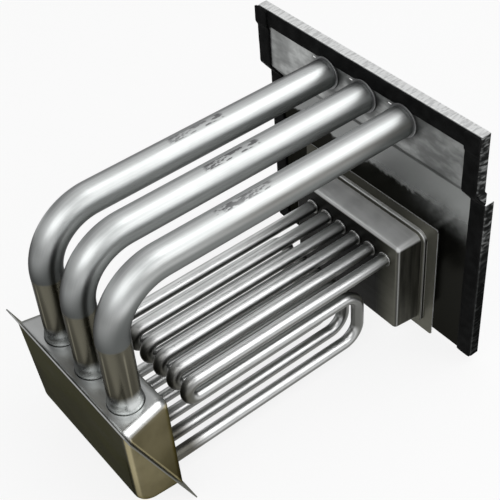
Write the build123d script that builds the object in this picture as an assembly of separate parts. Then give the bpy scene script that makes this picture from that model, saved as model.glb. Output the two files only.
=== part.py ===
from build123d import *
import os
from math import cos, radians, sin, tan

# Furnace heat exchanger, three cells, in millimetres.
# Hot gas enters three firing tubes through a folded vestibule panel, turns down in a coupling box
# made of two stamped halves, and comes back through six small serpentine tubes to a collector box
# on the lower part of the panel.
# The origin is the centre of the middle firing tube on the tube side of the panel.
# X runs across the panel, +Y points to the burner side and +Z is up.

# Layout
CENTRE_X = -7.4          # centre plane of the panel and both boxes, from the middle firing tube
FLOOR_Z = -386.0         # level of the two flange edges that the exchanger stands on

# Vestibule panel
PANEL_WIDTH = 436.0
PANEL_TOP_Z = 44.9
PANEL_BOTTOM_Z = -371.6
PANEL_SHEET = 1.0
JOGGLE_TOP_Z = -49.8
JOGGLE_LOW_Z = -76.0
JOGGLE_DEPTH = 20.0
RETURN_DEPTH = 15.9      # return flange round the edge
PANEL_BEND_R = 2.5       # folds round the edge
JOGGLE_BEND_R = 5.0      # the two folds of the joggle
RELIEF_MARGIN = 2.0      # notch in the side flanges past each fold
RELIEF_DEPTH = 2.0       # from the side of the panel inwards
SLOT_LENGTH = 7.0        # one small slot beside each firing tube
SLOT_WIDTH = 1.8
SLOT_SIDE = 26.5
SLOT_RISE = 13.0

# Foam gasket strips
GASKET_WIDTH = 24.4
GASKET_THICK = 3.0

# Firing tubes
FIRING_COUNT = 3
FIRING_PITCH = 76.2
FIRING_OD = 44.45
FIRING_WALL = 1.2
FIRING_BEND_R = 80.8
FIRING_LEG_Y = -475.0
BEAD_R = 25.3            # bead against the panel
BEAD_WIDTH = 3.2
LIP_R = 25.6             # rolled lip on the burner side
LIP_THICK = 1.2
SWELL_R = 24.2           # swelled end in the coupling box
SWELL_LENGTH = 12.0
SWELL_STRAIGHT = 4.0
FIRING_INSERT = 6.0

# Small serpentine tubes
SMALL_COUNT = 6
SMALL_PITCH = 31.5
SMALL_OD = 19.05
SMALL_WALL = 0.9
PASS_TOP_Z = -232.8
PASS_MID_Z = -264.1
PASS_LOW_Z = -354.5
TURN_BOX_Y = -387.4      # outermost axis of the tight turn near the coupling box
TURN_PANEL_Y = -83.7     # outermost axis of the wide turn near the collector
TURN_PANEL_R = 29.0
TURN_SLACK = 0.02        # straight left between the two arcs of the tight turn
SMALL_BEAD_R = 11.6
SMALL_BEAD_WIDTH = 2.6
SMALL_INSERT = 4.0

# Coupling box
BOX_SHEET = 0.9
BOX_TOP_Z = -194.0
BOX_REAR_Y = -432.5
BOX_FRONT_Y = -511.7
SEAM_TILT = 67.0         # slope of the seam flange from the horizontal
SEAM_TOP_Y = -512.9
SEAM_TOP_Z = -185.5
SEAM_TOP_HALF = 151.5    # half length of the flange's upper edge
SEAM_LOW_HALF = 141.0
SEAM_MARGIN = 17.0       # flange left beyond each end wall
REAR_END_DRAFT = 12.0
FRONT_END_DRAFT = 5.0
REAR_RIDGE_R = 16.0
REAR_END_R = 14.0
FRONT_RIDGE_R = 29.0
FRONT_END_R = 12.0
FRONT_LOW_Z = -361.5     # bottom wall of the front half
FRONT_LEAN = 2.8         # of the front wall from the vertical
DRAW_R = 5.0             # concave radius at the foot of the walls
DRAW_REACH = 6.0         # flange beyond the walls where their foot is looked for
COLLAR_DEPTH = 6.0       # drawn collar round each firing tube
COLLAR_LEAD_R = 1.1

# Collector box
COLLECTOR_SHEET = 0.8
COLLECTOR_HALF = 140.7
COLLECTOR_TOP_Z = -172.6
COLLECTOR_CORNER_R = 5.0
COLLECTOR_FRONT_Y = -29.6
STEP_HEIGHT = 6.0
STEP_INSET_SIDE = 18.4
STEP_INSET_TOP = 17.6
STEP_INSET_LOW = 11.0
STEP_CORNER_R = 17.0
PAN_INSET = 6.5          # width of the step's flat round the pan
PAN_CORNER_R = 12.0
PAN_DRAFT = 5.5
PAN_FRONT_R = 7.0
STEP_EDGE_R = 2.5

# Flue outlet
OUTLET_Z = -285.0
OUTLET_BORE_R = 38.1
OUTLET_COLLAR_HEIGHT = 12.0
OUTLET_BOLT_SPACING = 88.9
OUTLET_BOLT_R = 2.1

# Clearances
SHEET_HOLE_CLEAR = 0.15  # radial, between a tube and the hole that it passes
GASKET_CLEAR = 0.3       # radial, between a bead and the foam cut round it

CUT_PAST = 1.0           # a cutting rod or block goes this far past the sheet that it cuts
NEAR = 1.0               # edges this close to a plane count as on it
EPS = 0.01
FRONT_FACING = 0.3       # least share of -Y in the normal of a face that counts as front
BEAD_SHOULDER = 0.25     # share of a bead's width that each sloped shoulder takes


def firing_xs():
    """Places of the firing tubes across the panel."""
    return [FIRING_PITCH * (i - (FIRING_COUNT - 1) / 2) for i in range(FIRING_COUNT)]


def small_xs():
    """Places of the small tubes across the boxes."""
    return [SMALL_PITCH * (i - (SMALL_COUNT - 1) / 2) for i in range(SMALL_COUNT)]


def facing_y(y, direction=-1, x=CENTRE_X):
    """Plane across Y at the given depth, sketched in X and Z."""
    return Plane(origin=(x, y, 0), x_dir=(1, 0, 0), z_dir=(0, direction, 0))


def rod_y(x, z, radius, y0, y1):
    """Cylinder along Y between two depths."""
    start = Plane(origin=(x, y0, z), x_dir=(1, 0, 0), z_dir=(0, 1, 0))
    return extrude(start * Circle(radius), amount=y1 - y0)


def rod_z(x, y, radius, z0, z1):
    """Cylinder along Z between two levels."""
    return extrude(Plane(origin=(x, y, z0)) * Circle(radius), amount=z1 - z0)


def section_x(points):
    """Face across X from an outline in Y and Z."""
    return make_face(Polyline([(0, y, z) for y, z in points], close=True))


def prism_x(face, x0, x1):
    """Prism along X from a face across it."""
    return Pos(x0, 0, 0) * extrude(face, amount=x1 - x0, dir=(1, 0, 0))


def panel_half():
    return PANEL_WIDTH / 2


def panel_front(shift=0.0):
    """Front line of the panel from top to bottom, moved along Y by shift."""
    return [
        (shift, PANEL_TOP_Z),
        (shift, JOGGLE_TOP_Z),
        (JOGGLE_DEPTH + shift, JOGGLE_LOW_Z),
        (JOGGLE_DEPTH + shift, PANEL_BOTTOM_Z),
    ]


def round_joggle(face, shift, high_r, low_r):
    """Round the two folds of a section along the joggle."""
    high = face.vertices().sort_by_distance((0, shift, JOGGLE_TOP_Z))[0]
    face = fillet(high, high_r)
    low = face.vertices().sort_by_distance((0, JOGGLE_DEPTH + shift, JOGGLE_LOW_Z))[0]
    return fillet(low, low_r)


def panel_form(depth, inset=0.0):
    """Solid behind the panel's front line, or the same drawn in by inset, with rounded folds."""
    face = section_x(panel_front() + panel_front(depth)[::-1])
    if inset:
        face = offset(face, amount=-inset, kind=Kind.INTERSECTION)
    face = round_joggle(face, inset, JOGGLE_BEND_R - inset, JOGGLE_BEND_R + inset)
    half = panel_half() - inset
    form = prism_x(face, CENTRE_X - half, CENTRE_X + half)
    fronts = [f for f in form.faces() if f.normal_at().Y < -FRONT_FACING]
    by_level = form.faces().sort_by(Axis.Z)
    borders = form.faces().filter_by(Axis.X) + by_level[:1] + by_level[-1:]
    limits = ShapeList(e for f in borders for e in f.edges())
    rims = [e for f in fronts for e in f.edges() if e in limits]
    return fillet(rims, PANEL_BEND_R - inset)


def vestibule_panel():
    """Folded sheet with a joggle, return flanges, relief notches and openings."""
    left = CENTRE_X - panel_half()
    right = CENTRE_X + panel_half()
    open_depth = RETURN_DEPTH + PANEL_SHEET + CUT_PAST
    tray = panel_form(RETURN_DEPTH) - panel_form(open_depth, PANEL_SHEET)
    notch_height = JOGGLE_TOP_Z - JOGGLE_LOW_Z + 2 * RELIEF_MARGIN
    notch = Box(2 * RELIEF_DEPTH, 2 * RETURN_DEPTH, notch_height)
    for side in (left, right):
        tray -= Pos(side, JOGGLE_DEPTH + RETURN_DEPTH, (JOGGLE_TOP_Z + JOGGLE_LOW_Z) / 2) * notch
    slot = Box(SLOT_LENGTH, JOGGLE_DEPTH, SLOT_WIDTH)
    for x in firing_xs():
        tray -= rod_y(x, 0, FIRING_OD / 2 + SHEET_HOLE_CLEAR, -CUT_PAST, JOGGLE_DEPTH)
        tray -= Pos(x - SLOT_SIDE, 0, SLOT_RISE) * slot
    collar_r = OUTLET_BORE_R + COLLECTOR_SHEET + SHEET_HOLE_CLEAR
    y0 = JOGGLE_DEPTH - CUT_PAST
    y1 = JOGGLE_DEPTH + RETURN_DEPTH
    tray -= rod_y(CENTRE_X, OUTLET_Z, collar_r, y0, y1)
    for x, z in outlet_bolts():
        tray -= rod_y(x, z, OUTLET_BOLT_R, y0, y1)
    return tray


def outlet_bolts():
    """Screw places round the flue outlet."""
    half = OUTLET_BOLT_SPACING / 2
    return [(CENTRE_X + sx * half, OUTLET_Z + sz * half) for sx in (-1, 1) for sz in (-1, 1)]


def gasket_top():
    """Foam strip along the upper edge, cut round the beads of the firing tubes."""
    strip = Box(PANEL_WIDTH, GASKET_THICK, GASKET_WIDTH, align=(Align.CENTER, Align.MAX, Align.MAX))
    strip = Pos(CENTRE_X, 0, PANEL_TOP_Z) * strip
    for x in firing_xs():
        strip -= rod_y(x, 0, BEAD_R + GASKET_CLEAR, -GASKET_THICK - CUT_PAST, CUT_PAST)
    return strip


def gasket_side(sign):
    """Foam strip down one side, following the joggle."""
    front = panel_front(-GASKET_THICK)
    back = panel_front()
    front[0] = (front[0][0], PANEL_TOP_Z - GASKET_WIDTH)
    back[0] = (back[0][0], PANEL_TOP_Z - GASKET_WIDTH)
    face = section_x(front + back[::-1])
    for shift in (-GASKET_THICK, 0):
        face = round_joggle(face, shift, JOGGLE_BEND_R, JOGGLE_BEND_R)
    outer = CENTRE_X + sign * panel_half()
    inner = outer - sign * GASKET_WIDTH
    return prism_x(face, min(outer, inner), max(outer, inner))


def pipe(points, radii, od, wall):
    """Tube swept along straight runs joined by tangent arcs."""
    path = FilletPolyline(points, radius=radii)
    start = Plane(origin=path @ 0, z_dir=path % 0)
    outer = sweep(start * Circle(od / 2), path=path)
    inner = sweep(start * Circle(od / 2 - wall), path=path)
    return outer - inner


def bead_y(x, z, tube_od, wall, bead_r, y0, y1):
    """Rolled ring round a tube that runs along Y, with sloped shoulders."""
    ring = rod_y(x, z, bead_r, y0, y1)
    ring = chamfer(ring.edges().filter_by(GeomType.CIRCLE), (y1 - y0) * BEAD_SHOULDER)
    return ring - rod_y(x, z, tube_od / 2 - wall / 2, y0 - CUT_PAST, y1 + CUT_PAST)


def swelled_end(x):
    """End of a firing tube, swelled where it enters the coupling box."""
    r = FIRING_OD / 2
    low = BOX_TOP_Z - FIRING_INSERT
    shoulder = BOX_TOP_Z + SWELL_STRAIGHT
    top = shoulder + SWELL_LENGTH
    outline = [
        (r - FIRING_WALL, top),
        (r, top),
        (SWELL_R, shoulder),
        (SWELL_R, low),
        (SWELL_R - FIRING_WALL, low),
        (SWELL_R - FIRING_WALL, shoulder),
    ]
    face = make_face(Polyline([(dx, 0, z) for dx, z in outline], close=True))
    return Pos(x, FIRING_LEG_Y, 0) * revolve(face, axis=Axis.Z)


def firing_tube(x):
    """Bent firing tube with its bead, rolled lip and swelled end."""
    end_z = BOX_TOP_Z + SWELL_STRAIGHT + SWELL_LENGTH
    points = [(x, PANEL_SHEET + LIP_THICK, 0), (x, FIRING_LEG_Y, 0), (x, FIRING_LEG_Y, end_z)]
    tube = pipe(points, [FIRING_BEND_R], FIRING_OD, FIRING_WALL)
    tube += bead_y(x, 0, FIRING_OD, FIRING_WALL, BEAD_R, -BEAD_WIDTH, 0)
    lip = rod_y(x, 0, LIP_R, PANEL_SHEET, PANEL_SHEET + LIP_THICK)
    lip -= rod_y(x, 0, FIRING_OD / 2 - FIRING_WALL / 2, 0, PANEL_SHEET + LIP_THICK + CUT_PAST)
    return tube + lip + swelled_end(x)


def small_tube(x):
    """Serpentine tube in three passes with a bead at each end."""
    tight_r = (PASS_TOP_Z - PASS_MID_Z) / 2 - TURN_SLACK
    points = [
        (x, COLLECTOR_FRONT_Y + SMALL_INSERT, PASS_TOP_Z),
        (x, TURN_BOX_Y, PASS_TOP_Z),
        (x, TURN_BOX_Y, PASS_MID_Z),
        (x, TURN_PANEL_Y, PASS_MID_Z),
        (x, TURN_PANEL_Y, PASS_LOW_Z),
        (x, BOX_REAR_Y - SMALL_INSERT, PASS_LOW_Z),
    ]
    tube = pipe(points, [tight_r, tight_r, TURN_PANEL_R, TURN_PANEL_R], SMALL_OD, SMALL_WALL)
    y0 = COLLECTOR_FRONT_Y - SMALL_BEAD_WIDTH
    tube += bead_y(x, PASS_TOP_Z, SMALL_OD, SMALL_WALL, SMALL_BEAD_R, y0, COLLECTOR_FRONT_Y)
    y1 = BOX_REAR_Y + SMALL_BEAD_WIDTH
    bead = bead_y(x, PASS_LOW_Z, SMALL_OD, SMALL_WALL, SMALL_BEAD_R, BOX_REAR_Y, y1)
    return tube + bead


def seam_plane():
    """Plane of the seam: its Y runs down the flange, its normal points to the rear half."""
    tilt = radians(SEAM_TILT)
    return Plane(origin=(CENTRE_X, SEAM_TOP_Y, SEAM_TOP_Z), x_dir=(1, 0, 0), z_dir=(0, sin(tilt), cos(tilt)))


def seam_length():
    """Length of the flange down its slope to the floor level."""
    return (SEAM_TOP_Z - FLOOR_Z) / sin(radians(SEAM_TILT))


def seam_half(v, margin=0.0):
    """Half length of the flange at a distance down its slope."""
    return SEAM_TOP_HALF - (SEAM_TOP_HALF - SEAM_LOW_HALF) * v / seam_length() - margin


def seam_sheet(margin, v0, v1):
    """Trapezoid on the seam plane."""
    corners = [
        (-seam_half(v0, margin), v0),
        (seam_half(v0, margin), v0),
        (seam_half(v1, margin), v1),
        (-seam_half(v1, margin), v1),
    ]
    return seam_plane() * make_face(Polyline(corners, close=True))


def seam_z(y):
    """Level of the seam plane at a depth."""
    return SEAM_TOP_Z - (y - SEAM_TOP_Y) * tan(radians(SEAM_TILT))


def seam_y(z):
    """Depth of the seam plane at a level."""
    return SEAM_TOP_Y + (SEAM_TOP_Z - z) / tan(radians(SEAM_TILT))


def stamped_body(outline, side, inset, draft, ridge_r, end_r):
    """Block between the seam and two walls, with drafted ends and rounded edges."""
    reach = 2 * (BOX_REAR_Y - BOX_FRONT_Y)
    half = SEAM_TOP_HALF + inset
    block = prism_x(section_x(outline), CENTRE_X - half, CENTRE_X + half)
    margin = SEAM_MARGIN + inset / cos(radians(draft))
    direction = seam_plane().z_dir * side
    ends = extrude(seam_sheet(margin, 0, seam_length()), amount=reach, dir=direction, taper=draft)
    body = block & ends
    plane = seam_plane()
    free = [e for e in body.edges() if abs(plane.to_local_coords(e.center()).Z) > NEAR]
    ridge = [e for e in free if abs(e.center().X - CENTRE_X) < NEAR]
    body = fillet(ridge, ridge_r - inset)
    free = [e for e in body.edges() if abs(plane.to_local_coords(e.center()).Z) > NEAR]
    creases = [e for e in free if abs(e.center().X - CENTRE_X) > SEAM_LOW_HALF / 2]
    return fillet(creases, end_r - inset)


def rear_body(inset=0.0):
    """Outer form of the rear half, or its inside when inset by the sheet."""
    top = BOX_TOP_Z - inset
    rear = BOX_REAR_Y - inset
    outline = [(seam_y(top), top), (rear, top), (rear, seam_z(rear))]
    return stamped_body(outline, 1, inset, REAR_END_DRAFT, REAR_RIDGE_R, REAR_END_R)


def front_body(inset=0.0):
    """Outer form of the front half, or its inside when inset by the sheet."""
    lean = tan(radians(FRONT_LEAN))
    low = FRONT_LOW_Z + inset
    wall_y = BOX_FRONT_Y + inset / cos(radians(FRONT_LEAN))
    drop = (wall_y - SEAM_TOP_Y) / (1 / tan(radians(SEAM_TILT)) - lean)
    top = (wall_y + drop * lean, SEAM_TOP_Z - drop)
    keel = (wall_y + (SEAM_TOP_Z - low) * lean, low)
    outline = [top, (seam_y(low), low), keel]
    return stamped_body(outline, -1, inset, FRONT_END_DRAFT, FRONT_RIDGE_R, FRONT_END_R)


def stamped_half(body, hollow, side):
    """Stamped half: a drawn body on a flat seam flange, opened on the seam."""
    plane = seam_plane()
    direction = plane.z_dir * side
    flange = extrude(seam_sheet(0, 0, seam_length()), amount=BOX_SHEET, dir=direction)
    half = body + flange
    foot = []
    for e in half.edges():
        c = plane.to_local_coords(e.center())
        inside = abs(c.X) < seam_half(c.Y, DRAW_REACH) and NEAR < c.Y < seam_length() - NEAR
        if inside and abs(c.Z - side * BOX_SHEET) < EPS:
            foot.append(e)
    half = fillet(foot, DRAW_R)
    return half - hollow


def coupling_box_rear():
    """Rear half, with drawn collars for the firing tubes and holes for the small tubes."""
    half = stamped_half(rear_body(), rear_body(BOX_SHEET), 1)
    bore_r = SWELL_R + SHEET_HOLE_CLEAR
    for x in firing_xs():
        low = BOX_TOP_Z - COLLAR_DEPTH
        half += rod_z(x, FIRING_LEG_Y, bore_r + BOX_SHEET + EPS, low, BOX_TOP_Z - EPS)
        half -= rod_z(x, FIRING_LEG_Y, bore_r, low - CUT_PAST, BOX_TOP_Z + CUT_PAST)
    leads = [e for e in half.edges().filter_by(GeomType.CIRCLE)
             if abs(e.center().Z - BOX_TOP_Z) < EPS and abs(e.radius - bore_r) < EPS]
    half = fillet(leads, COLLAR_LEAD_R)
    hole_r = SMALL_OD / 2 + SHEET_HOLE_CLEAR
    for x in small_xs():
        half -= rod_y(x, PASS_LOW_Z, hole_r, BOX_REAR_Y - BOX_SHEET - CUT_PAST, BOX_REAR_Y + CUT_PAST)
    return half


def coupling_box_front():
    """Front half, closed."""
    return stamped_half(front_body(), front_body(BOX_SHEET), -1)


def collector_sketch(side_in, top_in, low_in, radius):
    """Rounded rectangle inside the collector flange."""
    width = 2 * (COLLECTOR_HALF - side_in)
    top = COLLECTOR_TOP_Z - top_in
    low = FLOOR_Z + low_in
    return Pos(0, (top + low) / 2) * RectangleRounded(width, top - low, radius)


def collector_flange_y():
    """Tube-side face of the pan's flange."""
    return JOGGLE_DEPTH - 2 * COLLECTOR_SHEET


def pan_form(inset=0.0):
    """Step and drawn pan, or their inside when inset by the sheet."""
    seat = collector_flange_y()
    step_y = seat - STEP_HEIGHT + inset
    step = collector_sketch(STEP_INSET_SIDE + inset, STEP_INSET_TOP + inset, STEP_INSET_LOW + inset,
                            STEP_CORNER_R - inset)
    base_y = seat + COLLECTOR_SHEET
    form = extrude(facing_y(base_y) * step, amount=base_y - step_y)
    rim = form.faces().sort_by(Axis.Y)[0].edges()
    form = fillet(rim, STEP_EDGE_R - min(inset, STEP_EDGE_R / 2))
    extra = PAN_INSET + inset
    pan = collector_sketch(STEP_INSET_SIDE + extra, STEP_INSET_TOP + extra, STEP_INSET_LOW + extra,
                           PAN_CORNER_R - inset)
    front = COLLECTOR_FRONT_Y + inset
    start = seat - STEP_HEIGHT + STEP_EDGE_R
    drawn = extrude(facing_y(start) * pan, amount=start - front, taper=PAN_DRAFT)
    face = drawn.faces().sort_by(Axis.Y)[0]
    drawn = fillet(face.edges(), PAN_FRONT_R - inset)
    return form + drawn


def collector_pan():
    """Deep-drawn pan with a stepped rim, its flange and the small tube holes."""
    seat = collector_flange_y()
    flange = extrude(facing_y(seat + COLLECTOR_SHEET) * collector_sketch(0, 0, 0, COLLECTOR_CORNER_R),
                     amount=COLLECTOR_SHEET)
    pan = flange + pan_form()
    pan -= pan_form(COLLECTOR_SHEET)
    hole_r = SMALL_OD / 2 + SHEET_HOLE_CLEAR
    y0 = COLLECTOR_FRONT_Y - CUT_PAST
    y1 = COLLECTOR_FRONT_Y + COLLECTOR_SHEET + CUT_PAST
    for x in small_xs():
        pan -= rod_y(x, PASS_TOP_Z, hole_r, y0, y1)
    return pan


def collector_back_plate():
    """Flat sheet behind the pan with the drawn flue collar and its screw holes."""
    outline = collector_sketch(0, 0, 0, COLLECTOR_CORNER_R)
    plate = extrude(facing_y(JOGGLE_DEPTH) * outline, amount=COLLECTOR_SHEET)
    collar_end = JOGGLE_DEPTH + PANEL_SHEET + OUTLET_COLLAR_HEIGHT
    front = JOGGLE_DEPTH - COLLECTOR_SHEET
    plate += rod_y(CENTRE_X, OUTLET_Z, OUTLET_BORE_R + COLLECTOR_SHEET, front, collar_end)
    plate -= rod_y(CENTRE_X, OUTLET_Z, OUTLET_BORE_R, front - CUT_PAST, collar_end + CUT_PAST)
    for x, z in outlet_bolts():
        plate -= rod_y(x, z, OUTLET_BOLT_R, front - CUT_PAST, JOGGLE_DEPTH + CUT_PAST)
    return plate


def build():
    """All pieces by name."""
    pieces = {
        "vestibule_panel": vestibule_panel(),
        "gasket_top": gasket_top(),
        "gasket_left": gasket_side(-1),
        "gasket_right": gasket_side(1),
        "coupling_box_rear": coupling_box_rear(),
        "coupling_box_front": coupling_box_front(),
        "collector_pan": collector_pan(),
        "collector_back_plate": collector_back_plate(),
    }
    for i, x in enumerate(firing_xs(), 1):
        pieces[f"firing_tube_{i}"] = firing_tube(x)
    for i, x in enumerate(small_xs(), 1):
        pieces[f"small_tube_{i}"] = small_tube(x)
    return pieces


os.makedirs("parts", exist_ok=True)
for name, shape in build().items():
    export_step(shape, f"parts/{name}.step")
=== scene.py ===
from math import radians

import bpy
import numpy as np
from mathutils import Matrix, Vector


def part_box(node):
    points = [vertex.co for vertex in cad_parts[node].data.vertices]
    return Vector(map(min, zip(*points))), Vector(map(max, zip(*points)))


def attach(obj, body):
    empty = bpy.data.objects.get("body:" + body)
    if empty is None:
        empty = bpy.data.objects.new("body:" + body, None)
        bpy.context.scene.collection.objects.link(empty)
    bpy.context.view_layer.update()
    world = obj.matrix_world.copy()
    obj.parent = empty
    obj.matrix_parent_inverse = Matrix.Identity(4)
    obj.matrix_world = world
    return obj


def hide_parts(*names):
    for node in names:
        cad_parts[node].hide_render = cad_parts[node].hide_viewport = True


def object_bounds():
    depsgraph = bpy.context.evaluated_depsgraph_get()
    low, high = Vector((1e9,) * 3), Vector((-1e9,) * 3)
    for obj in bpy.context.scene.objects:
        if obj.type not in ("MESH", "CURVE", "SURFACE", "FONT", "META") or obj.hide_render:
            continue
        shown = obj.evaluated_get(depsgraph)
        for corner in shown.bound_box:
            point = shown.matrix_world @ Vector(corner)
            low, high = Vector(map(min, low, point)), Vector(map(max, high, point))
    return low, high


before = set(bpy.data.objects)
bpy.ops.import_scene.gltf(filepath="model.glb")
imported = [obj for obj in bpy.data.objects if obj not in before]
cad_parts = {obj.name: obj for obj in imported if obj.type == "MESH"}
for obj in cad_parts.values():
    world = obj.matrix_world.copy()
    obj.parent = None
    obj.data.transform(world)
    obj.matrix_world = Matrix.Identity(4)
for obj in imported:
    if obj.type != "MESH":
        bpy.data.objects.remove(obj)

bl_info = {
    "name": "Furnace heat exchanger",
    "version": (1, 0, 0),
    "blender": (4, 5, 0),
    "location": "3D View > Sidebar > Exchanger",
    "description": "Finishes the tubes, boxes, panel and foam of a three cell furnace heat exchanger",
    "category": "Object",
}

CAD_LOW, CAD_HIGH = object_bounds()
BODY = "root"

FIRING_NODES = [f"firing_tube_{i}" for i in range(1, 4)]
SMALL_NODES = [f"small_tube_{i}" for i in range(1, 7)]

# Places and sizes on the panel and the boxes, in metres
CENTRE_X = -0.0074
FIRING_PITCH = 0.0762
SHEET_THICK = 0.001
JOGGLE_TOP = -0.0498
JOGGLE_LOW = -0.076
JOGGLE_DEPTH = 0.020
JOGGLE_FOLD_R = 0.005
COLLECTOR_SEAT = 0.0184
FLANGE_HALF = 0.138

# Tube ends, in metres. NECK_STEPS are distances past the bead and heights above the outside, and
# MOUTH_STATIONS are distances from the rolled lip that get a ring of points on the inside
END_ROUND = 0.0006
BEAD_FACE_WIDTH = 0.0032
NECK_DIP = 0.0006
NECK_STEPS = [(0.0012, -0.0006), (0.0024, -0.0001), (0.004, 0.0003), (0.007, 0.0004), (0.020, 0.0)]
SWELL_LENGTH = 0.010
SWELL_RAMP = 0.012
MOUTH_STATIONS = (0.012, 0.003)
SMALL_BEAD_WIDTH = 0.0026
SMALL_INSERT = 0.004

# Half of the straight bit between the two bends of a tight turn, in metres
TURN_STRAIGHT = 0.00002

# How finely the surfaces are divided
ARC_STEP = radians(4.0)
RING_STEPS = 6
SWELL_STEPS = 9
FIRING_AROUND = 72
SMALL_AROUND = 48
FOAM_AROUND = 28
FOAM_STEP = 0.0025
SHARP_ANGLE = radians(50.0)

# Distance along a route that counts as none, and the share of a bead that its two rounds take up
SAME_PLACE = 1e-9
RING_ROUND = 0.7

# Bounds of the tubes' finishes, of the painted shade on their upper flank and of the painted highlights on
# their legs, as shares of a turn round a tube from its underside
FLANK_START = 0.46
FLANK_FULL = 0.53
SMUDGE_LOW = 0.45
SMUDGE_HIGH = 0.53
LEG_GLINTS = (0.255, 0.46)

# What is left of each part of the colour in the painted brown shade low on the side of the third tube
BROWN_SHADE_CAST = (0.46, 0.44, 0.42)

# Bounds of the tubes' finishes and of their painted shade and highlights, in metres
SMUDGE_FAR = -0.27
SMUDGE_NEAR = -0.185
SMUDGE_SHIFT = 0.04
THIRD_TUBE_X = (0.04, 0.07)
LATER_TUBES_X = (-0.02, 0.06)
BROWN_RUN_Y = (-0.38, -0.22)
BEND_LEVEL = -0.012
LEG_LEVEL = -0.0815
GLINT_LEVELS = (-0.17, -0.09)
SWELL_LEVEL = -0.182
TIGHT_TURN_Y = -0.4

# Bounds of the panel's finish and of its painted reflection and shade, in metres
HALO_FULL = 0.033
HALO_END = 0.046
HALO_REACH = 0.108
PANEL_SLANT = 0.04
PANEL_BLACK = -0.15
RAGGED_TO_SOFT_X = (0.05, 0.16)
GREY_RISE_X = (0.02, 0.18)
STROKES_FADE_Z = (-0.19, -0.12)

# Bounds of the boxes' finishes and of their painted reflections, shade and light, in metres, and the way in Y
# and Z that the seam's upper edge faces
WALL_RISE_Z = (-0.33, -0.2)
REAR_END_Z = (-0.36, -0.23)
FRONT_END_Z = (-0.37, -0.3)
FRONT_EDGE_Z = (-0.37, -0.27)
BOX_TOP_X = (0.0, 0.13)
PAN_CORNER_X = (0.055, 0.115)
SEAM_EDGE_WAY = (-0.39, 0.92)

# Foam strips, in metres where they are lengths
FOAM_SQUARENESS = 5.0
FOAM_END_STATIONS = (0.0, 0.0004, 0.001, 0.002)
FOAM_MIDDLE_START = 0.003
FOAM_END_REACH = 0.002
FOAM_END_LEAST = 0.04
FOAM_LAP_Z = 0.0205
FOAM_LAP_RAMP = 0.008
FOAM_LAP_LIFT = 0.85
FOAM_LAP_SPREAD = 0.0006
FOAM_OVERHANG = 0.0016
FOAM_OVERHANG_SHARE = 0.6

# Waves of the foam's edges: radians in a metre, how much the seed counts, and height
FOAM_WAVES = [(61.0, 1.0, 1.0), (149.0, 2.3, 1.0), (337.0, 4.1, 0.6)]

# Stage
FLOOR_REACH = 3.0
ROOM_RISE = 0.8
SENSOR_WIDTH = 36.0

# What all colours and all lengths of the sidebar have in common
PAINT = {"subtype": "COLOR", "size": 3, "min": 0.0, "max": 1.0}
METRES = {"precision": 5, "unit": "LENGTH"}


class TubeSizes(bpy.types.PropertyGroup):
    """Sizes of the two kinds of tube."""

    firing_diameter: bpy.props.FloatProperty(
        name="Firing tube diameter", description="Outside diameter of a firing tube",
        default=0.04445, min=0.02, max=0.08, **METRES)
    firing_wall: bpy.props.FloatProperty(
        name="Firing tube wall", description="Wall thickness of a firing tube",
        default=0.0012, min=0.0005, max=0.004, **METRES)
    firing_bend: bpy.props.FloatProperty(
        name="Firing tube bend", description="Radius of the bend at the axis of a firing tube",
        default=0.0808, min=0.03, max=0.2, **METRES)
    firing_leg: bpy.props.FloatProperty(
        name="Firing tube leg", description="Place of the leg's axis along Y",
        default=-0.475, min=-1.0, max=0.0, **METRES)
    firing_bead: bpy.props.FloatProperty(
        name="Firing tube bead", description="Radius of the bead against the panel",
        default=0.0253, min=0.02, max=0.05, **METRES)
    firing_swell: bpy.props.FloatProperty(
        name="Swelled end", description="Radius of the end that enters the coupling box",
        default=0.0242, min=0.02, max=0.05, **METRES)
    small_diameter: bpy.props.FloatProperty(
        name="Small tube diameter", description="Outside diameter of a small tube",
        default=0.01905, min=0.01, max=0.04, **METRES)
    small_wall: bpy.props.FloatProperty(
        name="Small tube wall", description="Wall thickness of a small tube",
        default=0.0009, min=0.0003, max=0.003, **METRES)
    small_bead: bpy.props.FloatProperty(
        name="Small tube bead", description="Radius of the two beads of a small tube",
        default=0.0116, min=0.01, max=0.03, **METRES)
    pass_mid: bpy.props.FloatProperty(
        name="Middle pass", description="Level of the middle pass of the small tubes",
        default=-0.2641, min=-1.0, max=0.0, **METRES)
    turn_box: bpy.props.FloatProperty(
        name="Tight turn", description="Outermost axis of the turn near the coupling box",
        default=-0.3874, min=-1.0, max=0.0, **METRES)
    turn_panel: bpy.props.FloatProperty(
        name="Wide turn", description="Outermost axis of the turn near the collector",
        default=-0.0837, min=-1.0, max=0.0, **METRES)
    turn_panel_bend: bpy.props.FloatProperty(
        name="Wide turn bend", description="Radius of the two bends of the wide turn",
        default=0.029, min=0.01, max=0.1, **METRES)


class FoamSizes(bpy.types.PropertyGroup):
    """Sizes of the foam strips."""

    thickness: bpy.props.FloatProperty(
        name="Foam thickness", description="Height of a strip above the panel",
        default=0.0034, min=0.001, max=0.01, **METRES)
    unevenness: bpy.props.FloatProperty(
        name="Unevenness", description="How far the hand-laid edges wander",
        default=0.0004, min=0.0, max=0.003, **METRES)
    bead_clearance: bpy.props.FloatProperty(
        name="Clearance at the beads", description="Gap between the foam and a firing tube's bead",
        default=0.0003, min=0.0, max=0.003, **METRES)


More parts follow.
